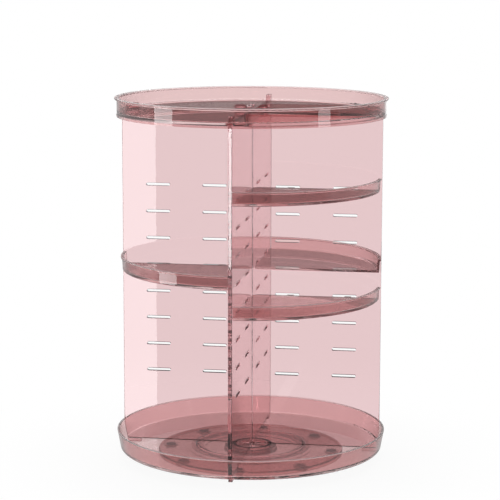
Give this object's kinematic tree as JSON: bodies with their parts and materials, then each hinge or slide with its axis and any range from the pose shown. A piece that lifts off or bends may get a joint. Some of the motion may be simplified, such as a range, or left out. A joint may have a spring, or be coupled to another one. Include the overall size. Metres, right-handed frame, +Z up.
{
  "type": "rotating makeup organizer",
  "caption": "Clear pink organizer that turns on a round foot: base tray, four slotted upright panels, movable quarter trays and a top tray with a brush well.",
  "frame": {"origin": "centre of the foot's underside, on the surface that the organizer stands on", "axes": "+Z up along the axis it turns about; the four upright panels lie along X and Y, and the front panel is along -Y; the brush well is in the quarter between +X and -Y"},
  "size_m": [0.25, 0.25, 0.3351],
  "materials": {
    "tray_plastic": "clear smoky pink moulded plastic, polished, seen through two walls",
    "panel_plastic": "clear smoky pink flat plastic, polished, with brighter cut edges",
    "foot_plastic": "clear smoky pink moulded plastic, polished",
    "bearing_plastic": "clear smooth plastic",
    "pad_rubber": "milky soft rubber, matte"
  },
  "bodies": {
    "foot": {"foot_plate": "foot_plastic", "foot_pads": "pad_rubber"},
    "bearing": {"bearing_cage": "bearing_plastic", "bearing_balls": "bearing_plastic"},
    "carousel": {"base_tray": "tray_plastic", "hub_cap": "foot_plastic", "slip_washer": "bearing_plastic", "front_panel": "panel_plastic", "rear_panel": "panel_plastic", "left_panel": "panel_plastic", "right_panel": "panel_plastic"},
    "top": {"top_tray": "tray_plastic"},
    "front_left_shelf": {"front_left_tray": "tray_plastic"},
    "rear_right_shelf": {"rear_right_tray": "tray_plastic"},
    "front_right_upper_shelf": {"front_right_upper_tray": "tray_plastic"},
    "front_right_lower_shelf": {"front_right_lower_tray": "tray_plastic"}
  },
  "joints": [
    {"name": "carousel_spin", "type": "hinge", "parent": "foot", "child": "carousel", "pos_m": [0, 0, 0.0068], "axis": [0, 0, 1], "continuous": true},
    {"name": "bearing_spin", "type": "hinge", "parent": "foot", "child": "bearing", "pos_m": [0, 0, 0.0068], "axis": [0, 0, 1], "continuous": true},
    {"name": "top_tray_lift", "type": "slide", "parent": "carousel", "child": "top", "axis": [0, 0, 1], "range_m": [0, 0.03]},
    {"name": "front_left_tray_pull", "type": "slide", "parent": "carousel", "child": "front_left_shelf", "axis": [-0.7071, -0.7071, 0], "range_m": [0, 0.13]},
    {"name": "rear_right_tray_pull", "type": "slide", "parent": "carousel", "child": "rear_right_shelf", "axis": [0.7071, 0.7071, 0], "range_m": [0, 0.13]},
    {"name": "front_right_upper_tray_pull", "type": "slide", "parent": "carousel", "child": "front_right_upper_shelf", "axis": [0.7071, -0.7071, 0], "range_m": [0, 0.13]},
    {"name": "front_right_lower_tray_pull", "type": "slide", "parent": "carousel", "child": "front_right_lower_shelf", "axis": [0.7071, -0.7071, 0], "range_m": [0, 0.13]}
  ],
  "couplings": [
    {"joint": "bearing_spin", "follows": "carousel_spin", "ratio": 0.5}
  ]
}
